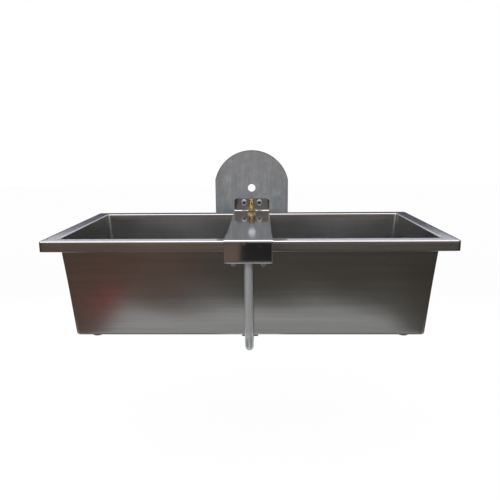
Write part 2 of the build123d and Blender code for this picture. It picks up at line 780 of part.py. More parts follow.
with BuildPart() as float_lever:
    with BuildSketch(arm_side):
        Circle(lever_hub_r)
        with Locations(nose_tip):
            Circle(nose_tip_r)
        with Locations(Location((nose_tip[0] / 2, nose_tip[1] / 2), nose_angle)):
            Rectangle(nose_length, nose_thickness)
    extrude(amount=lever_width / 2, both=True)
    with BuildSketch(across_arm(0)):
        Rectangle(lever_width, 2 * (boss_r - boss_step))
    extrude(amount=boss_start)
    with BuildSketch(across_arm(boss_start)):
        Circle(boss_r)
    extrude(amount=boss_length)
    chamfer(float_lever.faces().sort_by(Axis((0, 0, 0), arm_dir))[-1].edges(), bolt_chamfer)
    with BuildSketch(arm_side):
        Circle(pin_r + pin_clearance)
    extrude(amount=lever_width / 2, both=True, mode=Mode.SUBTRACT)
    with BuildSketch(across_arm(boss_start)):
        Circle(rod_r + thread_clearance)
    extrude(amount=boss_length, mode=Mode.SUBTRACT)
save(float_lever, "float_lever")

# Arm: a brass rod from the lever's boss into the ball's boss
ball_boss_start = arm_length - ball_r - ball_boss
rod_end = ball_boss_start + ball_insert
with BuildPart() as float_arm:
    with BuildSketch(across_arm(boss_start)):
        Circle(rod_r)
    extrude(amount=rod_end - boss_start)
save(float_arm, "float_arm")

with BuildPart() as float_locknut:
    with BuildSketch(across_arm(ball_boss_start - m6["nut"])):
        RegularPolygon(m6["flats"] / 2, 6, major_radius=False)
        Circle(rod_r + thread_clearance, mode=Mode.SUBTRACT)
    extrude(amount=m6["nut"])
save(float_locknut, "float_locknut")

# Ball: a hollow moulding with a seam round its middle and a boss for the arm
with BuildPart() as float_ball:
    with BuildSketch(arm_side):
        with Locations((arm_length, 0)):
            Circle(ball_r)
            Rectangle(2 * ball_seam, 2 * (ball_r + ball_seam))
            Circle(ball_r - ball_wall, mode=Mode.SUBTRACT)
        with Locations((ball_boss_start + (ball_insert + ball_boss) / 2, 0)):
            Rectangle(ball_insert + ball_boss, 2 * ball_boss_r)
            Rectangle(ball_insert + ball_boss, 2 * (rod_r + thread_clearance), mode=Mode.SUBTRACT)
        with Locations((arm_length, -ball_r)):
            Rectangle(4 * ball_r, 2 * ball_r, mode=Mode.SUBTRACT)
    revolve(axis=Axis(arm_side.origin, arm_dir))
save(float_ball, "float_ball")

# Drain: flanged collar through the floor, seal and backnut below, rubber bung above
drain_thread = drain_seal_t + drain_nut_height + drain_thread_past_nut
with BuildPart() as drain_collar:
    with BuildSketch(level(floor_z + tub_sheet, drain_x, tub_y)):
        Circle(drain_flange_r)
    extrude(amount=drain_flange_t)
    fillet(drain_collar.faces().sort_by(Axis.Z)[-1].edges(), drain_edge_r)
    with BuildSketch(level(floor_z + tub_sheet, drain_x, tub_y)):
        Circle(drain_thread_r)
    extrude(amount=-(tub_sheet + drain_thread))
    with BuildSketch(level(floor_z - drain_thread, drain_x, tub_y)):
        Circle(drain_spigot_r)
    extrude(amount=drain_thread - drain_stub)
    with BuildSketch(level(floor_z + tub_sheet + drain_flange_t, drain_x, tub_y)):
        Circle(drain_bore_r)
    extrude(amount=-(drain_flange_t + tub_sheet + drain_stub), mode=Mode.SUBTRACT)
save(drain_collar, "drain_collar")

with BuildPart() as drain_seal:
    with BuildSketch(level(floor_z, drain_x, tub_y)):
        Circle(drain_flange_r)
        Circle(drain_thread_r + thread_clearance, mode=Mode.SUBTRACT)
    extrude(amount=-drain_seal_t)
save(drain_seal, "drain_seal")

with BuildPart() as drain_backnut:
    with Locations((drain_x, tub_y, floor_z - drain_seal_t - drain_nut_height)):
        add(hexagon(drain_nut_flats, drain_nut_height, drain_thread_r + thread_clearance))
save(drain_backnut, "drain_backnut")

bung_r = drain_bore_r - bung_clearance
bung_seat_z = floor_z + tub_sheet + drain_flange_t
knob_centre = bung_head + bung_neck + (bung_knob_r**2 - bung_neck_r**2) ** 0.5
with BuildPart() as drain_bung:
    with BuildSketch(Plane(origin=(drain_x, tub_y, bung_seat_z), x_dir=(1, 0, 0), z_dir=(0, -1, 0))):
        with BuildLine():
            plug = Polyline(
                (0, -bung_length),
                (bung_r - bung_taper - bung_end_chamfer, -bung_length),
                (bung_r - bung_taper, bung_end_chamfer - bung_length),
                (bung_r, 0),
                (bung_head_r, 0),
                (bung_head_r, bung_head - bung_head_chamfer),
                (bung_head_r - bung_head_chamfer, bung_head),
                (bung_neck_r, bung_head),
                (bung_neck_r, bung_head + bung_neck),
            )
            knob = ThreePointArc(plug @ 1, (bung_knob_r, knob_centre), (0, knob_centre + bung_knob_r))
            Line(knob @ 1, plug @ 0)
        make_face()
    revolve(axis=Axis((drain_x, tub_y, 0), (0, 0, 1)))
save(drain_bung, "drain_bung")
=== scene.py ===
"""Wall-hung livestock trough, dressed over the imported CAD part.

Metres in the part's own frame: +X along the trough, +Y to the wall, +Z up, with the origin at the
centre of the round hole in the wall plate. Shapes are worked out in millimetres and scaled once.
"""

import bmesh
import bpy
import numpy as np
from mathutils import Matrix, Vector


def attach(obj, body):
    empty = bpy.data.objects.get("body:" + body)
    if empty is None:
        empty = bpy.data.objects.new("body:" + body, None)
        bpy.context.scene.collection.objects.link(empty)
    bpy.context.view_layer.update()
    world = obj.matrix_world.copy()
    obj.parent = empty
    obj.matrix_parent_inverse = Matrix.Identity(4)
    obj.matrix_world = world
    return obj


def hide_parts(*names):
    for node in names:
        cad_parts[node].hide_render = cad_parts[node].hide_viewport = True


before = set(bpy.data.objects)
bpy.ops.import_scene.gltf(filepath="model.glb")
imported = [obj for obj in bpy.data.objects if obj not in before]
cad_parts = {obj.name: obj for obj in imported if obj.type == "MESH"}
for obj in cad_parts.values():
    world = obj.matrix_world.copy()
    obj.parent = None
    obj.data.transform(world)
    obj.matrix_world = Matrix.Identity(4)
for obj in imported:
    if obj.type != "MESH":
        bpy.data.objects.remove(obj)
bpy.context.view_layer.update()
MM = 0.001
merge_gap = 2e-6

# Tub
rim_z, floor_z = -77.0, -332.0
tub_half = np.array([500.0, 250.0])
tub_y = -287.5
sheet = 1.5
rim_width = 35.0
lip_height, hem_height = 26.0, 9.0
wall_taper = 20.0
drain_x, drain_hole_r = -380.0, 21.45

# Bridge
bridge_half = 58.0
bridge_sheet = 2.5
bridge_bend_r = 1.5
apron_mid_y, upright_mid_y = -539.25, -6.25
return_mid_z, return_end_y = -130.35, -504.5
upright_top_z, upright_corner_r = -34.5, 5.0
flange_start_y, flange_end_y = -461.5, -76.96
flange_depth, flange_bend_r = 27.5, 4.0

# Wall plate, in metres as its finish measures it
plate_arch_r, plate_half = 0.123, 0.120

# Supply pipe
pipe_r, pipe_bore_r, pipe_bend_r = 10.6, 8.0, 52.0
front_riser_y, rear_riser_y, run_z = -520.5, -25.5, -364.0
front_pipe_top_z, rear_pipe_top_z = -116.18, -65.0
pipe_flange_sheet = 4.0

# Brass inlet
inlet_z, inlet_bore_r = -73.0, 7.5
inlet_flats, inlet_hex = 25.0, 11.0
inlet_thread_r, inlet_pitch, inlet_thread = 10.48, 1.814, 28.0

# Studs, with the height and bore of their nuts
stud_x, stud_z = 25.0, -47.5
stud_foot_y, stud_nut_y = -5.0, -9.5
stud_r, stud_pitch, stud_length = 5.0, 1.5, 15.9
stud_nut_flats, stud_nut_height, stud_nut_bore_r = 17.0, 8.4, 5.1

# Bolts: thread radius, width across flats, head height, pitch and shank length
bolt_x, apron_bottom_z = 35.5, -131.6
flange_bolt = (4.0, 13.0, 5.3, 1.25, 17.6)
flange_washer, flange_nut_height, flange_nut_bore_r = 1.6, 6.5, 4.1
clamp_x, clamp_zs, clamp_sheet = 21.0, (-157.0, -227.0), 2.0
clamp_bolt = (3.0, 10.0, 4.0, 1.0, 27.0)

# Float lever, hanging
pivot = np.array([0.0, -448.49, -124.0])
arm_angle = np.radians(35.0)
arm_length = 185.0
ball_r, boss_r, boss_length, socket_r, socket_depth = 50.0, 9.0, 8.0, 3.1, 6.0


def unit(v):
    """v divided by its length, along the last axis."""
    return v / np.linalg.norm(v, axis=-1, keepdims=True)


def rounded_line(corners, radii, steps=8):
    """A line through corners whose inner corners are arcs: each arc turns about the point on the
    corner's bisector that lies one radius away from both legs."""
    pts = np.asarray(corners, float)
    s = np.linspace(0, 1, steps + 1)[:, None]
    line = [pts[:1]]
    for before, at, after, r in zip(pts[:-2], pts[1:-1], pts[2:], radii):
        back, on = unit(before - at), unit(after - at)
        half = np.arccos(np.clip(back @ on, -1, 1)) / 2
        centre = at + unit(back + on) * r / np.sin(half)
        first, last = at + back * r / np.tan(half) - centre, at + on * r / np.tan(half) - centre
        turn = np.pi - 2 * half
        line.append(centre + (np.sin((1 - s) * turn) * first + np.sin(s * turn) * last) / np.sin(turn))
    line.append(pts[-1:])
    line = np.concatenate(line)
    return line[np.append(True, np.linalg.norm(np.diff(line, axis=0), axis=1) > 1e-6)]


def spaced(line, gap):
    """The same line with more points on its long legs, evenly set about one gap apart."""
    run = np.concatenate([[0.0], np.cumsum(np.linalg.norm(np.diff(line, axis=0), axis=1))])
    extra = np.arange(gap, run[-1], gap)
    extra = extra[np.abs(extra[:, None] - run).min(axis=1) > 0.4 * gap]
    at = np.sort(np.concatenate([run, extra]))
    return np.stack([np.interp(at, run, line[:, k]) for k in range(line.shape[1])], axis=1)


def shell(grid, loop=False):
    """Points, quads and end faces of a grid (stations, around, 3). Each row of points is a closed
    ring. With loop the last row meets the first, otherwise each end row gets one face."""
    rows, cols = grid.shape[:2]
    index = np.arange(rows * cols).reshape(rows, cols)
    near = index if loop else index[:-1]
    far = np.roll(index, -1, 0) if loop else index[1:]
    quads = np.stack([near, far, np.roll(far, -1, 1), np.roll(near, -1, 1)], axis=-1).reshape(-1, 4)
    return grid.reshape(-1, 3), quads, [] if loop else [index[0], index[-1]]


def finish_piece(piece, finish, body, nodes, sharp):
    """Smooth shading with edges sharper than an angle kept, and the piece's place in the frame."""
    mesh = piece.data
    mesh.polygons.foreach_set("use_smooth", np.ones(len(mesh.polygons), bool))
    mesh.set_sharp_from_angle(angle=np.radians(sharp))
    mesh.materials.clear()
    mesh.materials.append(finish)
    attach(piece, body)
    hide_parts(*nodes)
    return piece


def make_piece(name, shells, finish, body, nodes, sharp=38):
    """One mesh from closed shells in millimetres, merged at its poles, with its faces outward."""
    starts = np.cumsum([0] + [len(s[0]) for s in shells[:-1]])
    points = np.concatenate([s[0] for s in shells]) * MM
    faces = []
    for start, (_, quads, ends) in zip(starts, shells):
        faces += (quads + start).tolist() + [(end + start).tolist() for end in ends]
    mesh = bpy.data.meshes.new(name)
    mesh.from_pydata(points, [], faces)
    bm = bmesh.new()
    bm.from_mesh(mesh)
    bmesh.ops.remove_doubles(bm, verts=bm.verts, dist=merge_gap)
    bmesh.ops.recalc_face_normals(bm, faces=bm.faces)
    bm.to_mesh(mesh)
    bm.free()
    piece = bpy.data.objects.new(name, mesh)
    bpy.context.scene.collection.objects.link(piece)
    return finish_piece(piece, finish, body, nodes, sharp)


def eased_copy(node, finish, body, ease):
    """The CAD piece's own faces, merged, with every sharp edge eased by a small bevel."""
    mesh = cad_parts[node].data.copy()
    piece = bpy.data.objects.new(node + "_finished", mesh)
    bpy.context.scene.collection.objects.link(piece)
    bm = bmesh.new()
    bm.from_mesh(mesh)
    bmesh.ops.remove_doubles(bm, verts=bm.verts, dist=merge_gap)
    bmesh.ops.dissolve_limit(bm, angle_limit=np.radians(0.6), verts=bm.verts, edges=bm.edges)
    bm.to_mesh(mesh)
    bm.free()
    bevel = piece.modifiers.new("eased edges", "BEVEL")
    bevel.width = ease * MM
    bevel.segments = 2
    bevel.limit_method = "ANGLE"
    bevel.angle_limit = np.radians(35)
    bevel.harden_normals = True
    return finish_piece(piece, finish, body, [node], sharp=40)


def moved(part, at, z_axis=(0, 0, 1)):
    """A shell carried from its own frame to the one at `at`, with Z along z_axis and X left as X."""
    x, z = np.array([1.0, 0.0, 0.0]), unit(np.array(z_axis, float))
    return part[0] @ np.stack([x, np.cross(z, x), z]) + np.array(at, float), part[1], part[2]


def polar_shell(radius, z, loop):
    """A shell of rings about the Z axis: a table of radii (rings, around) and one height a ring."""
    sides = radius.shape[1]
    angle = np.linspace(0, 2 * np.pi, sides, endpoint=False)
    height = np.repeat(z[:, None], sides, 1)
    points, quads, _ = shell(np.stack([radius * np.cos(angle), radius * np.sin(angle), height], -1), loop)
    return points, quads, []


def turned(profile, sides):
    """A lathe form: each profile point (radius, height), from axis to axis, goes once round Z."""
    r, z = np.asarray(profile, float).T
    return polar_shell(np.repeat(r[:, None], sides, 1), z, loop=False)


def hex_blank(flats, height, bore_r, sides=72):
    """A hex nut with a bore. Its radius is the hexagon's, half the flats over the cosine of the
    angle from the nearest flat, but never more than a 30 degree cone that starts at each face."""
    angle = np.linspace(0, 2 * np.pi, sides, endpoint=False)
    corner = flats / 2 / np.cos((angle + np.pi / 6) % (np.pi / 3) - np.pi / 6)
    chamfer_height, face_r = 0.062 * flats, 0.475 * flats
    rise = np.linspace(0, chamfer_height, 7)
    depth = np.concatenate([rise, [height / 2], rise[::-1]])
    level = np.concatenate([rise, [height / 2], height - rise[::-1]])
    cone = face_r + depth * 3**0.5
    lead = min(0.5, 0.08 * bore_r)
    mouth, bore = np.full((1, sides), bore_r + lead), np.full((2, sides), bore_r)
    radius = np.concatenate([mouth, np.minimum(corner[None, :], cone[:, None]), mouth, bore])
    z = np.concatenate([[0.0], level, [height, height - lead, lead]])
    return polar_shell(radius, z, loop=True)


def thread(major_r, pitch, z0, z1, bore_r=0.0, sides=48, per_turn=10, end_chamfer=1.0):
    """A threaded rod or spigot from z0 to z1. Its radius is the major radius less the thread's
    depth times a triangle wave of height over pitch less the angle's share of a turn, with flat
    crests and roots, and it is cut down near both ends."""
    angle = np.linspace(0, 2 * np.pi, sides, endpoint=False)
    z = np.linspace(z0, z1, max(12, int(abs(z1 - z0) / pitch * per_turn)))
    turn = z[:, None] / pitch - angle[None, :] / (2 * np.pi)
    wave = np.abs(turn % 1.0 - 0.5) * 2
    depth = 0.61 * pitch
    low, high = min(z0, z1), max(z0, z1)
    limit = major_r - end_chamfer + np.minimum(z - low, high - z)[:, None]
    radius = np.minimum(major_r - depth * np.clip(1.25 * wave - 0.12, 0, 1), limit)
    ends = np.full((1, sides), bore_r)
    z = np.concatenate([z[:1], z, z[-1:]])
    return polar_shell(np.concatenate([ends, radius, ends]), z, loop=bore_r > 0)


def tube_along(line, outer_r, bore_r, sides=48):
    """An open tube along a line in the YZ plane: circles square to the line, out along the outside
    and back along the bore, with the cut ends slightly rounded."""
    ahead = unit(np.gradient(line, axis=0))
    side = np.array([1.0, 0.0, 0.0])
    up = np.cross(ahead, side)
    angle = np.linspace(0, 2 * np.pi, sides, endpoint=False)
    circle = np.cos(angle)[None, :, None] * side + np.sin(angle)[None, :, None] * up[:, None, :]
    r = np.full(len(line), outer_r)
    r[[0, -1]] -= 0.5
    bore = np.full(len(line), bore_r)
    bore[[0, -1]] += 0.4
    out = line[:, None, :] + circle * r[:, None, None]
    back = line[:, None, :] + circle * bore[:, None, None]
    return shell(np.concatenate([out, back[::-1]]), loop=True)


def rounded_rings(inset, corner_r, per_corner=14, per_side=(110, 52)):
    """Rounded rectangles inside the rim's outline, one for each inset and corner radius. A point is
    the corner's centre plus the radius times its direction, and side points lie between corners."""
    signs = np.array([[1, 1], [-1, 1], [-1, -1], [1, -1]], float)
    centres, ways = [], []
    for k in range(4):
        turn = np.pi / 2 * (k + np.linspace(0, 1, per_corner))
        centres.append(np.repeat(signs[k:k + 1], per_corner, 0))
        ways.append(np.stack([np.cos(turn), np.sin(turn)], 1))
        t = np.linspace(0, 1, per_side[k % 2] + 2)[1:-1, None]
        centres.append((1 - t) * signs[k] + t * signs[(k + 1) % 4])
        ways.append(np.repeat(ways[-1][-1:], len(t), 0))
    centres, ways = np.concatenate(centres), np.concatenate(ways)
    reach = tub_half[None, :] - inset[:, None] - corner_r[:, None]
    return reach[:, None, :] * centres + corner_r[:, None, None] * ways, ways


def tub_shell():
    """The folded sheet as one closed skin. Its section (inset from the rim's outline, height) runs
    down the lip, round its hem and up inside it, under the rim, down the wall's outside, over the
    floor's underside to the drain hole, and back on the other face. Each wall bulges by two slow
    sines that fade towards its edges."""
    lip_z = rim_z - lip_height
    hem_z = lip_z + hem_height
    lean = wall_taper + rim_width
    # how far the wall leans in over one sheet's thickness of height
    lean_step = 0.12
    # where the section closes on the lip's outside, and where the rings to the drain begin
    join_z, fan_edge = lip_z + 6, lean + 12
    lip_bend_r, hem_bend_r, hem_tip_r, rim_bend_r, floor_bend_r = 1.45, 0.35, 0.1, 1.5, 5.0
    hidden = rounded_line(
        [(0.0, join_z), (0.0, lip_z), (2 * sheet, lip_z), (2 * sheet, hem_z), (sheet, hem_z),
         (sheet, rim_z - sheet), (rim_width + lean_step, rim_z - sheet), (lean, floor_z),
         (fan_edge, floor_z)],
        [lip_bend_r, lip_bend_r, hem_bend_r, hem_tip_r, rim_bend_r, rim_bend_r, floor_bend_r])
    shown = rounded_line(
        [(fan_edge, floor_z + sheet), (lean + sheet - lean_step, floor_z + sheet),
         (rim_width + sheet, rim_z), (0.0, rim_z), (0.0, join_z)],
        [floor_bend_r - sheet, rim_bend_r + sheet, rim_bend_r + sheet])
    wall_edge = 12.0
    long_swell, long_wave = 0.55, 95.0
    short_swell, short_wave, rising_wave = 0.3, 41.0, 60.0
    rings = []
    for line, stops, radii in (
        (spaced(hidden, 6.0), [0, 3, 33.6, 35.1, 54.5, 62], [8, 5, 10.5, 9, 9, 4]),
        (spaced(shown, 6.0), [0, 3, 33.5, 36.5, 55.9, 61.9], [8, 5, 10.5, 7.5, 7.5, 4]),
    ):
        # the corner's radius in plan changes with the inset, between the stops
        inset, z = line.T
        flat, ways = rounded_rings(inset, np.interp(inset, stops, radii))
        drop = np.clip((rim_z - wall_edge - z) / (rim_z - floor_z - 2 * wall_edge), 0, 1)
        fade = np.sin(np.pi * drop) * (inset > rim_width + 0.5)
        along = np.where(np.abs(ways[:, :1].T) > 0.5, flat[..., 1], flat[..., 0])
        swell = long_swell * np.sin(along / long_wave + 0.8)
        swell = swell + short_swell * np.sin(along / short_wave + z[:, None] / rising_wave)
        flat = flat + (fade[:, None] * swell)[..., None] * ways
        rings.append(np.concatenate([flat, np.repeat(z[:, None], flat.shape[1], 1)[..., None]], -1))
    below, above = rings
    t = np.linspace(0, 1, 34)[1:, None, None] ** 0.9
    hole = np.array([drain_x, 0.0])

    def to_drain(ring):
        """Rings that go in straight lines from the floor's edge to the drain hole's circle."""
        circle = hole + drain_hole_r * unit(ring[:, :2] - hole)
        flat = (1 - t) * ring[:, :2] + t * circle
        return np.concatenate([flat, np.full(flat.shape[:2] + (1,), ring[0, 2])], -1)

    grid = np.concatenate([below, to_drain(below[-1]), to_drain(above[0])[::-1], above])
    grid[..., 1] += tub_y
    return shell(grid, loop=True)


def folded_strip(line, thickness, half_width, edge=0.45, across=36):
    """A bent sheet along a line in the YZ plane. Each station is a flat ring, its own half width to
    each side and half the thickness to each face, with its four edges rounded off."""
    ahead = unit(np.gradient(line, axis=0))
    up = np.stack([-ahead[:, 1], ahead[:, 0]], 1)
    half = thickness / 2
    turn = np.linspace(0, np.pi / 2, 4)
    corner = edge * np.stack([np.sin(turn), np.cos(turn)], 1) - edge
    t = np.linspace(-1, 1, across)[1:-1]
    offsets = np.concatenate([np.zeros((len(t), 2)), corner, corner[::-1]])
    u, drop = np.concatenate([offsets, offsets]).T
    side = np.concatenate([t, np.ones(8), -t, -np.ones(8)])
    face = np.concatenate([0 * t + 1, np.ones(4), -np.ones(4), 0 * t - 1, -np.ones(4), np.ones(4)])
    x = side * (half_width[:, None] + u)
    shrink = np.ones((len(line), 1))
    shrink[[0, -1]] = 1 - edge / half
    lift = face * (half + drop) * shrink
    return shell(np.stack([x, line[:, :1] + lift * up[:, :1], line[:, 1:] + lift * up[:, 1:]], -1))


def bridge_shells():
    """The bridge: a strip bent at the return, the apron's top and the foot of the upright, narrowed
    where its side flanges are folded down, and one folded flange along each side."""
    mid_z = rim_z + bridge_sheet / 2
    bend = bridge_bend_r + bridge_sheet / 2
    line = rounded_line(
        [(return_end_y, return_mid_z), (apron_mid_y, return_mid_z), (apron_mid_y, mid_z),
         (upright_mid_y, mid_z), (upright_mid_y, upright_top_z)],
        [bend, bend, bend], steps=12)
    line = spaced(line, 5.0)
    # each end of the narrowed stretch is a short slope
    slope = 0.6
    marks = np.array([flange_start_y, flange_start_y + slope, flange_end_y - slope, flange_end_y])
    top = np.stack([marks, np.full(4, mid_z)], 1)
    tip_foot_z = upright_top_z - upright_corner_r
    tip_z = upright_top_z - upright_corner_r * (1 - np.cos(np.linspace(0, np.pi / 2, 9)))
    tip = np.stack([np.full(9, upright_mid_y), tip_z], 1)
    on_top = np.abs(line[:, 1] - mid_z) < 1e-6
    before = line[on_top & (line[:, 0] < marks[0])]
    between = line[on_top & (line[:, 0] > marks[1] + 0.5) & (line[:, 0] < marks[2] - 0.5)]
    behind = line[on_top & (line[:, 0] > marks[3])]
    first, last = np.flatnonzero(on_top)[[0, -1]]
    rising = line[last + 1:]
    rising = rising[rising[:, 1] < tip_foot_z - 0.2]
    line = np.concatenate([line[:first], before, top[:2], between, top[2:], behind, rising, tip[::-1]])
    inner = (line[:, 0] > marks[0] + 0.1) & (line[:, 0] < marks[3] - 0.1)
    low = inner & (np.abs(line[:, 1] - mid_z) < 1e-6)
    climb = np.clip(line[:, 1] - tip_foot_z, 0, upright_corner_r)
    round_off = upright_corner_r - np.sqrt(upright_corner_r**2 - climb**2)
    strip = folded_strip(line, bridge_sheet, bridge_half - np.where(low, flange_bend_r, 0.0) - round_off)
    # one flange: its section bends down from the strip's edge, and it runs from front to rear
    bend_mid = flange_bend_r - bridge_sheet / 2
    flange_x, flange_foot_z = bridge_half - bridge_sheet / 2, rim_z + bridge_sheet - flange_depth
    section = rounded_line(
        [(bridge_half - flange_bend_r, mid_z), (flange_x, mid_z), (flange_x, flange_foot_z)],
        [bend_mid], steps=10)
    section = spaced(section, 3.0)
    ahead = unit(np.gradient(section, axis=0))
    out = np.stack([-ahead[:, 1], ahead[:, 0]], 1)
    half = np.full(len(section), bridge_sheet / 2)
    half[-1] -= 0.5
    ring = np.concatenate([section + out * half[:, None], (section - out * half[:, None])[::-1]])
    runs = np.concatenate([
        [flange_start_y, flange_start_y + 0.5], np.linspace(flange_start_y + 6, flange_end_y - 6, 60),
        [flange_end_y - 0.5, flange_end_y],
    ])
    flanges = []
    for way in (1, -1):
        grid = np.empty((len(runs), len(ring), 3))
        grid[..., 0] = way * ring[None, :, 0]
        grid[..., 1] = runs[:, None]
        grid[..., 2] = ring[None, :, 1]
        flanges.append(shell(grid))
    return [strip, *flanges]


def bolt_shells(r, flats, head, pitch, length, places, z_axis):
    """Hex bolts with a threaded shank, head up z_axis and shank down it."""
    blank = hex_blank(flats, head, 0.25 * r)
    plug = turned([(0.0, 0.1), (0.3 * r, 0.1), (0.3 * r, head - 0.25), (0.0, head - 0.25)], 24)
    shank = thread(r, pitch, -length, 0.2, end_chamfer=0.8)
    return [moved(part, at, z_axis) for at in places for part in (blank, plug, shank)]


class Wire:
    """A shader socket. Arithmetic on it adds Math nodes to its material."""

    def __init__(self, finish, socket):
        self.finish, self.socket = finish, socket

    def math(self, operation, *others):
        values = dict(enumerate((self, *others)))
        return self.finish.node("ShaderNodeMath", {"operation": operation}, values)

    def __add__(self, other):
        return self.math("ADD", other)

    def __sub__(self, other):
        return self.math("SUBTRACT", other)

    def __rsub__(self, other):
        return self.finish.node("ShaderNodeMath", {"operation": "SUBTRACT"}, {0: other, 1: self})

    def __mul__(self, other):
        return self.math("MULTIPLY", other)

    def __pow__(self, other):
        return self.math("POWER", other)

    __radd__ = __add__


class Finish:
    """A surface finish: a Principled shader with what is fed to it."""

    def __init__(self, name, metallic=0.0):
        self.material = bpy.data.materials.new(name)
        self.material.use_nodes = True
        self.tree = self.material.node_tree
        self.tree.nodes.clear()
        self.shader = self.tree.nodes.new("ShaderNodeBsdfPrincipled")
        output = self.tree.nodes.new("ShaderNodeOutputMaterial")
        self.tree.links.new(self.shader.outputs[0], output.inputs[0])
        self.shader.inputs["Metallic"].default_value = metallic
        self.place = self.node("ShaderNodeTexCoord", output="Object")
        self.facing = self.node("ShaderNodeNewGeometry", output="Normal")

    def node(self, kind, settings=None, values=None, output=0):
        """Adds a node of a type with its settings and the values or links of its sockets."""
        made = self.tree.nodes.new(kind)
        for name, value in (settings or {}).items():
            setattr(made, name, value)
        for socket, value in (values or {}).items():
            if isinstance(value, Wire):
                self.tree.links.new(value.socket, made.inputs[socket])
            else:
                made.inputs[socket].default_value = value
        return Wire(self, made.outputs[output])

    def stretched(self, factors):
        """Object coordinates times three factors."""
        return self.node("ShaderNodeVectorMath", {"operation": "MULTIPLY"}, {0: self.place, 1: factors})

    def noise(self, factors, detail=3.0, rough=0.55, warp=0.0):
        """Noise between 0 and 1 whose grains are as many to the metre as the factors say."""
        values = {"Vector": self.stretched(factors), "Scale": 1.0, "Detail": detail, "Roughness": rough,
                  "Distortion": warp}
        return self.node("ShaderNodeTexNoise", {}, values)

    def step(self, value, low, high):
        """0 below low, 1 above high and smooth between."""
        return self.node("ShaderNodeMapRange", {"interpolation_type": "SMOOTHSTEP"},
                         {"Value": value, "From Min": low, "From Max": high})

    def mix(self, share, first, second):
        """Colour from first to second as share goes from 0 to 1."""
        return self.node("ShaderNodeMix", {"data_type": "RGBA"}, {0: share, 6: first, 7: second}, output=2)

    def parts(self, vector):
        """The three numbers of a vector."""
        made = self.node("ShaderNodeSeparateXYZ", {}, {0: vector})
        outputs = made.socket.node.outputs
        return [Wire(self, outputs[k]) for k in range(3)]

    def bump(self, height, depth):
        """Normal bent by a height, as deep as depth in metres."""
        return self.node("ShaderNodeBump", {}, {"Height": height, "Distance": depth, "Strength": 1.0})

    def feed(self, **links):
        """Links results to the shader and gives the finished material."""
        for socket, value in links.items():
            self.tree.links.new(value.socket, self.shader.inputs[socket.replace("_", " ").title()])
        return self.material


def grey(level, tint=(1.0, 1.0, 1.0)):
    """An RGBA colour of one level with a slight tint."""
    return (level * tint[0], level * tint[1], level * tint[2], 1.0)


def rolled_steel():
    """Rolled stainless sheet: long fine brush lines along the trough, broad level streaks, soft
    cloudiness and dried water marks that are duller than the sheet."""
    f = Finish("rolled stainless steel", metallic=1.0)
    nz = f.parts(f.facing)[2]
    flat = f.step(nz.math("ABSOLUTE"), 0.6, 0.8)
    on_walls = f.noise((5.0, 5.0, 2600.0), detail=4.0)
    on_rim = f.noise((5.0, 2600.0, 5.0), detail=4.0)
    lines = on_walls * (1.0 - flat) + on_rim * flat
    wide = f.noise((2.2, 2.2, 70.0), detail=0.6)
    cloud = f.noise((6.0, 6.0, 9.0), detail=4.0, warp=0.6)
    marks = f.step(f.noise((26.0, 26.0, 14.0), detail=5.0, rough=0.65), 0.60, 0.80)
    tone = f.mix(cloud, grey(0.36, (1.0, 0.985, 0.955)), grey(0.43, (0.99, 0.995, 1.0)))
    tone = f.mix(lines * 0.35, tone, grey(0.26, (1.0, 0.97, 0.93)))
    tone = f.mix(marks * 0.12, tone, grey(0.30, (1.0, 0.96, 0.9)))
    streaks = f.step(f.noise((3.0, 3.0, 150.0), detail=3.0), 0.35, 0.65)
    tone = f.mix(streaks * 0.35, tone, grey(0.26, (1.0, 0.98, 0.96)))
    rough = 0.12 + lines * 0.05 + wide * 0.03 + cloud * 0.05 + marks * 0.03 - flat * 0.06
    normal = f.bump(lines * 0.025 + wide * 1.5, 0.000012)
    return f.feed(base_color=tone, roughness=rough, normal=normal)


def polished_steel():
    """Polished sheet of the bridge: almost a mirror, slightly wavy, with fine rubbing marks."""
    f = Finish("polished stainless steel", metallic=1.0)
    cloud = f.noise((14.0, 9.0, 12.0), detail=3.0)
    rub = f.noise((900.0, 14.0, 40.0), detail=3.0)
    spots = f.step(f.noise((90.0, 90.0, 90.0), detail=4.0), 0.60, 0.70)
    tone = f.mix(cloud, grey(0.40, (0.98, 0.99, 1.03)), grey(0.47, (0.98, 0.99, 1.03)))
    tone = f.mix(spots * 0.25, tone, grey(0.30))
    on_top = f.step(f.parts(f.facing)[2], 0.6, 0.9)
    rough = 0.03 + rub * 0.035 + cloud * 0.02 + spots * 0.10 + on_top * 0.035
    wave = f.noise((9.0, 7.0, 11.0), detail=1.0)
    normal = f.bump(wave + rub * 0.008, 0.00022)
    return f.feed(base_color=tone, roughness=rough, normal=normal)


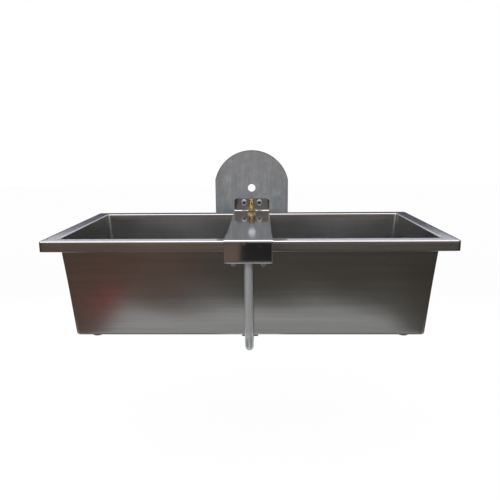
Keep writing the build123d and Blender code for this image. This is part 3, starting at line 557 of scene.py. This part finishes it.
def dull_plate():
    """Heavy plate with a dull mill face: up and down streaks, mottling, pale scuffs, a blue-green cast
    low down and a darker margin along the cut outline, where the distance from the outline is the
    lesser of the arch's radius less the distance from its centre and the half width less |x|."""
    f = Finish("dull steel plate")
    x, _, z = f.parts(f.place)
    streak = f.noise((150.0, 150.0, 9.0), detail=5.0, rough=0.75)
    mottle = f.noise((46.0, 46.0, 36.0), detail=5.0, rough=0.65, warp=0.5)
    scuff = f.step(f.noise((70.0, 70.0, 42.0), detail=6.0, rough=0.7, warp=0.8), 0.54, 0.70)
    low = f.step(z, 0.015, -0.055)
    blotch = f.step(f.noise((24.0, 24.0, 20.0), detail=4.0, warp=0.5), 0.44, 0.60)
    tone = f.mix(f.step(streak, 0.22, 0.78), grey(0.20, (0.98, 1.0, 1.03)), grey(0.33, (0.98, 1.0, 1.02)))
    tone = f.mix(f.step(mottle, 0.35, 0.65) * 0.55, tone, grey(0.20, (1.0, 1.0, 1.01)))
    tone = f.mix(scuff * 0.42, tone, grey(0.42, (0.97, 1.0, 1.0)))
    tone = f.mix(low * blotch * 0.6, tone, grey(0.20, (0.80, 1.02, 1.10)))
    reach = (x * x + z * z) ** 0.5
    to_side = plate_half - x.math("ABSOLUTE")
    inside = (plate_arch_r - reach).math("MINIMUM", to_side)
    above = f.step(z, -0.004, 0.002)
    margin = (1.0 - f.step(inside, 0.0005, 0.0042)) * above
    sides = (1.0 - f.step(to_side, 0.0005, 0.0036)) * (1.0 - above)
    tone = f.mix((margin + sides) * 0.62, tone, grey(0.055, (0.95, 1.0, 1.05)))
    rough = 0.40 + mottle * 0.18 + streak * 0.08 + scuff * 0.1
    normal = f.bump(streak * 0.5 + mottle + scuff * 0.3, 0.00016)
    return f.feed(base_color=tone, roughness=rough, normal=normal, metallic=0.70 + streak * 0.12)


def hot_dip_zinc():
    """Galvanised tube and brackets: long faint streaks, soft crystal patches and white bloom."""
    f = Finish("hot-dip zinc", metallic=0.55)
    patches = f.node("ShaderNodeTexVoronoi", {"feature": "F1"},
                     {"Vector": f.stretched((170.0, 170.0, 60.0)), "Scale": 1.0}, output="Color")
    tint = f.parts(patches)[0]
    streak = f.noise((420.0, 420.0, 5.0), detail=3.0)
    bloom = f.step(f.noise((90.0, 90.0, 16.0), detail=5.0), 0.45, 0.72)
    tone = f.mix(f.step(streak, 0.35, 0.65), grey(0.30, (0.98, 1.0, 0.99)), grey(0.43, (0.97, 1.0, 1.0)))
    tone = f.mix(tint * 0.18, tone, grey(0.52, (0.95, 1.0, 1.01)))
    tone = f.mix(bloom * 0.25, tone, grey(0.55, (0.93, 1.0, 1.0)))
    rough = 0.30 + tint * 0.05 + bloom * 0.10
    normal = f.bump(streak * 0.3 + tint * 0.1, 0.00006)
    return f.feed(base_color=tone, roughness=rough, normal=normal)


def zinc_plated(name, dark, light):
    """Plated fasteners: bluish grey from dark to light, with fine grain and duller brown stains."""
    f = Finish(name, metallic=1.0)
    stain = f.step(f.noise((260.0, 260.0, 260.0), detail=4.0), 0.46, 0.64)
    fine = f.noise((1500.0, 1500.0, 1500.0), detail=2.0)
    tone = f.mix(fine, grey(dark, (0.98, 0.99, 1.02)), grey(light, (0.99, 1.0, 1.0)))
    tone = f.mix(stain * 0.6, tone, grey(0.4 * dark, (1.0, 0.9, 0.78)))
    rough = 0.24 + stain * 0.25 + fine * 0.06
    return f.feed(base_color=tone, roughness=rough, normal=f.bump(fine, 0.00002))


def machined_brass(name, drawn=False):
    """Brass with fine turning lines and brown tarnish that gathers in patches."""
    f = Finish(name, metallic=1.0)
    lines = f.noise((120.0, 120.0, 3200.0) if not drawn else (2600.0, 60.0, 60.0), detail=2.0)
    tarnish = f.step(f.noise((95.0, 95.0, 70.0), detail=5.0, rough=0.65), 0.38, 0.60)
    tone = f.mix(lines, (0.41, 0.31, 0.155, 1), (0.57, 0.465, 0.27, 1))
    tone = f.mix(tarnish * 0.55, tone, (0.16, 0.108, 0.052, 1))
    rough = 0.14 + lines * 0.05 + tarnish * 0.08
    return f.feed(base_color=tone, roughness=rough, normal=f.bump(lines, 0.00002))


def moulded(name, dark, light, grain=700.0, rough=0.55):
    """Moulded rubber, fibre or plastic: fine grain, soft tone changes and dust that lies on top."""
    f = Finish(name)
    nz = f.parts(f.facing)[2]
    cloud = f.noise((28.0, 28.0, 28.0), detail=4.0)
    fine = f.noise((grain, grain, grain), detail=2.0)
    settled = f.step(nz, 0.3, 1.0) * f.step(f.noise((60.0, 60.0, 60.0), detail=4.0), 0.35, 0.75)
    tone = f.mix(cloud, (*dark, 1), (*light, 1))
    tone = f.mix(settled * 0.25, tone, (0.30, 0.28, 0.25, 1))
    level = rough + fine * 0.12 + settled * 0.15
    return f.feed(base_color=tone, roughness=level, normal=f.bump(fine, 0.00004))


tub_finish = rolled_steel()
bridge_finish = polished_steel()
plate_finish = dull_plate()
zinc_finish = hot_dip_zinc()
bolt_finish = zinc_plated("plated fastener steel", 0.36, 0.48)
stud_finish = zinc_plated("dark stud steel", 0.06, 0.10)
# a lighter copy of the plated fastener steel for the nuts under the apron: painted light that offsets the
# apron's shade on them
painted_light_nut_finish = zinc_plated("nut steel painted lighter", 0.60, 0.72)
brass_finish = machined_brass("machined brass")
rod_finish = machined_brass("drawn brass rod", drawn=True)
black_rubber = moulded("black moulded rubber", (0.018, 0.018, 0.018), (0.035, 0.034, 0.032))
grey_rubber = moulded("grey moulded rubber", (0.10, 0.10, 0.105), (0.15, 0.15, 0.155))
red_fibre = moulded("red-brown pressed fibre", (0.075, 0.028, 0.018), (0.11, 0.045, 0.03), grain=1600.0)
white_nylon = moulded("white nylon", (0.74, 0.73, 0.69), (0.82, 0.81, 0.77), rough=0.38)
float_plastic = moulded("float moulding", (0.035, 0.05, 0.085), (0.06, 0.085, 0.13), rough=0.34)

make_piece("tub_sheet", [tub_shell()], tub_finish, "trough", ["tub"], sharp=50)
make_piece("bridge_sheet", bridge_shells(), bridge_finish, "trough", ["bridge"], sharp=50)

# Supply tube, with a point half a millimetre inside each cut end, where the rounding of the end stops
pipe_line = rounded_line(
    [(front_riser_y, front_pipe_top_z), (front_riser_y, run_z), (rear_riser_y, run_z),
     (rear_riser_y, rear_pipe_top_z)], [pipe_bend_r, pipe_bend_r], steps=28)
pipe_line = np.insert(pipe_line, 0, 0.0, axis=1)
inward = np.array([[0.0, 0.0, -0.5]])
pipe_line = np.concatenate([
    pipe_line[:1], pipe_line[:1] + inward, pipe_line[1:-1], pipe_line[-1:] + inward, pipe_line[-1:],
])
make_piece("supply_tube", [tube_along(spaced(pipe_line, 8.0), pipe_r, pipe_bore_r)],
           zinc_finish, "trough", ["supply_pipe"])

# Brass inlet: the hex blank and the threaded spigot share one bore
inlet_at = (0.0, rear_riser_y, inlet_z)
inlet_blank = hex_blank(inlet_flats, inlet_hex, inlet_bore_r)
inlet_spigot = thread(inlet_thread_r, inlet_pitch, inlet_hex - 0.3, inlet_hex + inlet_thread,
                      inlet_bore_r, sides=72, per_turn=12)
make_piece("inlet_fitting", [moved(inlet_blank, inlet_at), moved(inlet_spigot, inlet_at)],
           brass_finish, "trough", ["inlet_adaptor"])

# Studs, nuts and bolts
to_front = (0.0, -1.0, 0.0)
stud = thread(stud_r, stud_pitch, 0.0, stud_length)
make_piece("threaded_studs",
           [moved(stud, (x, stud_foot_y, stud_z), z_axis=to_front) for x in (-stud_x, stud_x)],
           stud_finish, "trough", ["plate_studs"])
stud_nut = hex_blank(stud_nut_flats, stud_nut_height, stud_nut_bore_r)
make_piece("hex_stud_nuts",
           [moved(stud_nut, (x, stud_nut_y, stud_z), z_axis=to_front) for x in (-stud_x, stud_x)],
           bolt_finish, "trough", ["stud_nuts"])
head_z = apron_bottom_z + bridge_sheet + pipe_flange_sheet
head_places = [(x, front_riser_y, head_z) for x in (-bolt_x, bolt_x)]
make_piece("flange_hex_bolts", bolt_shells(*flange_bolt, head_places, (0, 0, 1)),
           bolt_finish, "trough", ["flange_bolts"])
nut_z = apron_bottom_z - flange_washer - flange_nut_height
flange_nut = hex_blank(flange_bolt[1], flange_nut_height, flange_nut_bore_r)
# the flange nuts take the plated steel painted lighter, a painted highlight against the shade under the
# apron
make_piece("flange_hex_nuts", [moved(flange_nut, (x, front_riser_y, nut_z)) for x in (-bolt_x, bolt_x)],
           painted_light_nut_finish, "trough", ["flange_nuts"])
clamp_places = [(x, rear_riser_y - clamp_sheet, z) for z in clamp_zs for x in (-clamp_x, clamp_x)]
make_piece("clamp_hex_bolts", bolt_shells(*clamp_bolt, clamp_places, to_front),
           bolt_finish, "trough", ["clamp_bolts"])

# Float ball: two halves with a raised seam, and the boss that the arm is screwed into
lever_way = np.array([0.0, np.cos(arm_angle), -np.sin(arm_angle)])
polar = np.linspace(0, np.pi, 90)
ball = np.stack([ball_r * np.sin(polar), -ball_r * np.cos(polar)], 1)
seam = np.array([[-0.05, -1.2], [0.6, -1.0], [1.0, -0.4], [1.0, 0.4], [0.6, 1.0], [-0.05, 1.2]])
lower = ball[(ball[:, 0] > boss_r) & (ball[:, 1] < -1.5)]
foot_z, foot_chamfer = -ball_r - boss_length, 0.8
ball_line = np.concatenate([
    [[0.0, foot_z + socket_depth], [socket_r, foot_z + socket_depth], [socket_r, foot_z],
     [boss_r - foot_chamfer, foot_z], [boss_r, foot_z + foot_chamfer], [boss_r, lower[0, 1] - 1.0]],
    lower, seam + [ball_r, 0.0], ball[ball[:, 1] > 1.5], [[0.0, ball_r]],
])
make_piece("float_ball_moulding",
           [moved(turned(ball_line, 72), pivot + lever_way * arm_length, z_axis=lever_way)],
           float_plastic, "float_lever", ["float_ball"])

# Nodes that keep their CAD faces: node, finish, slot and how far its edges are eased
eased_nodes = {
    "trough": [
        ("wall_plate", plate_finish, "plate_steel", 0.7),
        ("tub_feet", black_rubber, "black_rubber", 0.5),
        ("stud_washers", bolt_finish, "bolt_steel", 0.25),
        ("pipe_flange", zinc_finish, "galvanised_steel", 0.6),
        ("flange_washers", bolt_finish, "bolt_steel", 0.25),
        ("saddle_pads", black_rubber, "black_rubber", 0.8),
        ("clamp_spacers", zinc_finish, "galvanised_steel", 0.6),
        ("pipe_clamps", zinc_finish, "galvanised_steel", 0.4),
        ("inlet_washer", red_fibre, "red_fibre", 0.25),
        ("valve_elbow", brass_finish, "brass", 0.5),
        ("outer_seal", black_rubber, "black_rubber", 0.3),
        ("inner_seal", black_rubber, "black_rubber", 0.3),
        ("valve_backnut", brass_finish, "brass", 0.3),
        ("valve_body", brass_finish, "brass", 0.35),
        ("valve_seat", white_nylon, "white_nylon", 0.2),
        ("valve_end_cap", brass_finish, "brass", 0.35),
        ("lever_pin", bolt_finish, "bolt_steel", 0.2),
        ("pin_clip", bolt_finish, "bolt_steel", 0.15),
        ("drain_collar", plate_finish, "plate_steel", 0.4),
        ("drain_seal", black_rubber, "black_rubber", 0.3),
        ("drain_backnut", brass_finish, "brass", 0.4),
    ],
    "piston": [
        ("valve_piston", brass_finish, "brass", 0.25),
        ("piston_washer", black_rubber, "black_rubber", 0.2),
    ],
    "float_lever": [
        ("float_lever", brass_finish, "brass", 0.3),
        ("float_arm", rod_finish, "brass_rod", 0.3),
        ("float_locknut", brass_finish, "brass", 0.3),
    ],
    "bung": [
        ("drain_bung", grey_rubber, "grey_rubber", 0.5),
    ],
}
for body, rows in eased_nodes.items():
    for node, finish, slot, ease in rows:
        eased_copy(node, finish, body, ease)


def stage_board(name, corners, finish, seen=True):
    """A flat board of the studio."""
    mesh = bpy.data.meshes.new(name)
    mesh.from_pydata(corners, [], [tuple(range(len(corners)))])
    mesh.materials.append(finish)
    board = bpy.data.objects.new(name, mesh)
    bpy.context.scene.collection.objects.link(board)
    board.visible_camera = seen
    return board


def plain_finish(name, colour):
    """A matt studio surface."""
    material = bpy.data.materials.new(name)
    material.use_nodes = True
    shader = material.node_tree.nodes["Principled BSDF"]
    shader.inputs["Base Color"].default_value = colour
    shader.inputs["Roughness"].default_value = 0.9
    shader.inputs["Specular IOR Level"].default_value = 0.1
    return material


def background_share(tree, strength=1.0):
    """A socket that is strength for camera, glossy and transmission rays and 0 for the others."""
    rays = tree.nodes.new("ShaderNodeLightPath")
    total = rays.outputs["Is Camera Ray"]
    for kind in ("Is Glossy Ray", "Is Transmission Ray"):
        both = tree.nodes.new("ShaderNodeMath")
        both.operation = "MAXIMUM"
        tree.links.new(total, both.inputs[0])
        tree.links.new(rays.outputs[kind], both.inputs[1])
        total = both.outputs[0]
    part = tree.nodes.new("ShaderNodeMath")
    part.operation = "MULTIPLY"
    part.inputs[1].default_value = strength
    tree.links.new(total, part.inputs[0])
    return part.outputs[0]


def pale_floor():
    """A pale floor that is seen and reflected almost white, with a trace of the trough's shadow."""
    material = plain_finish("pale floor", (0.86, 0.86, 0.86, 1))
    tree = material.node_tree
    shader, output = tree.nodes["Principled BSDF"], tree.nodes["Material Output"]
    glow, blend = (tree.nodes.new(f"ShaderNode{kind}") for kind in ("Emission", "MixShader"))
    tree.links.new(background_share(tree, 0.975), blend.inputs[0])
    tree.links.new(shader.outputs[0], blend.inputs[1])
    tree.links.new(glow.outputs[0], blend.inputs[2])
    tree.links.new(blend.outputs[0], output.inputs[0])
    return material


def floor_mat(name, corners, finish, lift=0.0):
    """A mat on the floor, seen only in reflections, so that the floor's own shade stays even."""
    board = stage_board(name, [(x, y, mat_z + lift) for x, y in corners], finish, seen=False)
    board.visible_diffuse = board.visible_shadow = False


def wall_board(name, start, end, low, high, finish):
    """An upright board over a line on the floor, hidden from the camera."""
    corners = [(*start, low), (*end, low), (*end, high), (*start, high)]
    stage_board(name, corners, finish, seen=False)


ground, floor_half = -0.74, 9.0
mat_z, raised = ground + 0.01, 0.01
floor_corners = [(-floor_half, -floor_half), (floor_half, -floor_half), (floor_half, floor_half),
                 (-floor_half, floor_half)]
stage_board("floor", [(x, y, ground) for x, y in floor_corners], pale_floor())

# Colours of the mats and boards, which the front wall, the lip, the apron and the bridge mirror
board_colours = {
    "brown": (0.105, 0.064, 0.046),
    "tan": (0.225, 0.156, 0.118),
    "dark": (0.062, 0.055, 0.044),
    "taupe": (0.150, 0.136, 0.122),
    "black": (0.018, 0.016, 0.016),
    "grey": (0.80, 0.81, 0.88),
    "dim": (0.085, 0.083, 0.098),
    "band": (0.60, 0.60, 0.59),
    "shade": (0.36, 0.36, 0.35),
    "umber": (0.62, 0.50, 0.42),
    "red": (0.26, 0.030, 0.036),
}
boards = {name: plain_finish(f"{name} board", (*colour, 1)) for name, colour in board_colours.items()}

# Lines across the floor where mats meet, by their Y, and how far the mats reach to each side
near, middle, far, back = -1.385, -2.7, -9.0, 1.1
side = 6.0
floor_mat("brown_mat", [
    (-side, middle), (-0.24, middle), (-0.32, -1.95), (-0.36, near), (-0.60, near), (-0.64, -1.0),
    (-1.1, -1.0), (-1.1, back), (-side, back),
], boards["brown"])
floor_mat("dark_mat", [
    (-0.36, near), (-0.32, -1.95), (-0.24, middle), (side, middle), (side, back), (1.1, back),
    (1.1, -1.0), (0.67, -1.0), (0.60, near),
], boards["dark"])
floor_mat("tan_mat", [(-side, far), (-0.16, far), (-0.14, middle), (-side, middle)], boards["tan"])
floor_mat("taupe_mat", [(-0.16, far), (side, far), (side, middle), (-0.14, middle)], boards["taupe"])
floor_mat("black_mat", [(-0.120, -3.0), (-0.144, -4.6), (0.26, -4.6), (0.22, -3.0)],
          boards["black"], raised)
floor_mat("red_mat", [(-0.72, -1.60), (-0.62, -1.60), (-0.61, -1.38), (-0.74, -1.35)],
          boards["red"], raised)
floor_mat("band_mat", [(-0.60, near), (0.60, near), (0.62, -1.27), (-0.615, -1.27)], boards["band"])
floor_mat("shade_mat", [(-0.615, -1.27), (0.62, -1.27), (0.67, -0.85), (-0.66, -0.85)], boards["shade"])
for name, x0, x1 in (("left_edge_mat", -0.62, -0.10), ("right_edge_mat", 0.10, 0.64)):
    floor_mat(name, [(x0, -0.85), (x1, -0.85), (x1, -0.30), (x0, -0.30)], boards["dark"])
floor_mat("umber_mat", [(-side, far), (side, far), (side, -4.75), (-side, -4.75)], boards["umber"], raised)

wall_board("front_board", (-side, far), (side, far), ground, 1.6, boards["umber"])
for name, x, colour in (("left_board", -2.4, "brown"), ("right_board", 2.4, "dark")):
    wall_board(name, (x, -4.0), (x, 0.9), ground, 0.1, boards[colour])
wall_board("hole_board", (-0.07, 0.25), (0.07, 0.25), -0.01, 0.11, boards["grey"])
back_y, split_z, back_top_z = 1.2, 0.225, 0.95
wall_board("back_board", (-side, back_y), (side, back_y), split_z, back_top_z, boards["grey"])
wall_board("low_back_board", (-side, back_y), (side, back_y), ground, split_z, boards["dim"])


def area_lamp(name, at, to, size, watts, colour=(1, 1, 1)):
    """A soft box aimed at a point."""
    data = bpy.data.lights.new(name, "AREA")
    data.shape = "RECTANGLE"
    data.size, data.size_y = size
    data.energy = watts
    data.color = colour
    lamp = bpy.data.objects.new(name, data)
    lamp.location = at
    lamp.rotation_euler = (Vector(to) - Vector(at)).to_track_quat("-Z", "Y").to_euler()
    lamp.visible_camera = False
    bpy.context.scene.collection.objects.link(lamp)


area_lamp("overhead", (-0.2, -1.0, 2.4), (0, -0.3, -0.2), (4.2, 3.0), 150, (0.97, 0.98, 1.0))
area_lamp("front_left", (-2.6, -2.0, 1.5), (0, -0.3, -0.2), (1.4, 1.4), 24)

world = bpy.data.worlds.new("studio")
bpy.context.scene.world = world
world.use_nodes = True
tree = world.node_tree
tree.nodes.clear()
shown = tree.nodes.new("ShaderNodeBackground")
shown.inputs["Color"].default_value = (1, 1, 1, 1)
fill = tree.nodes.new("ShaderNodeBackground")
fill.inputs["Color"].default_value = (0.94, 0.96, 1.0, 1)
fill.inputs["Strength"].default_value = 0.55
blend = tree.nodes.new("ShaderNodeMixShader")
output = tree.nodes.new("ShaderNodeOutputWorld")
tree.links.new(background_share(tree), blend.inputs[0])
tree.links.new(fill.outputs[0], blend.inputs[1])
tree.links.new(shown.outputs[0], blend.inputs[2])
tree.links.new(blend.outputs[0], output.inputs[0])

# Camera at the photograph's angle
camera_at = (0.0299, -1.755, 0.157)
focal_px, photo_px, sensor_mm = 526.7, 500.0, 36.0
pitch, yaw, roll = 0.2068, 0.0211, -0.0076
ahead = Vector((-np.sin(yaw) * np.cos(pitch), np.cos(yaw) * np.cos(pitch), -np.sin(pitch)))
right = Vector((np.cos(yaw), np.sin(yaw), 0.0))
up = right.cross(ahead)
right, up = right * np.cos(roll) + up * np.sin(roll), up * np.cos(roll) - right * np.sin(roll)
camera_data = bpy.data.cameras.new("photo camera")
camera_data.sensor_width = sensor_mm
camera_data.lens = sensor_mm * focal_px / photo_px
camera = bpy.data.objects.new("photo camera", camera_data)
camera.matrix_world = Matrix((right, up, -ahead)).transposed().to_4x4()
camera.location = camera_at
bpy.context.scene.collection.objects.link(camera)
bpy.context.scene.camera = camera
bpy.context.scene.view_settings.view_transform = "Standard"
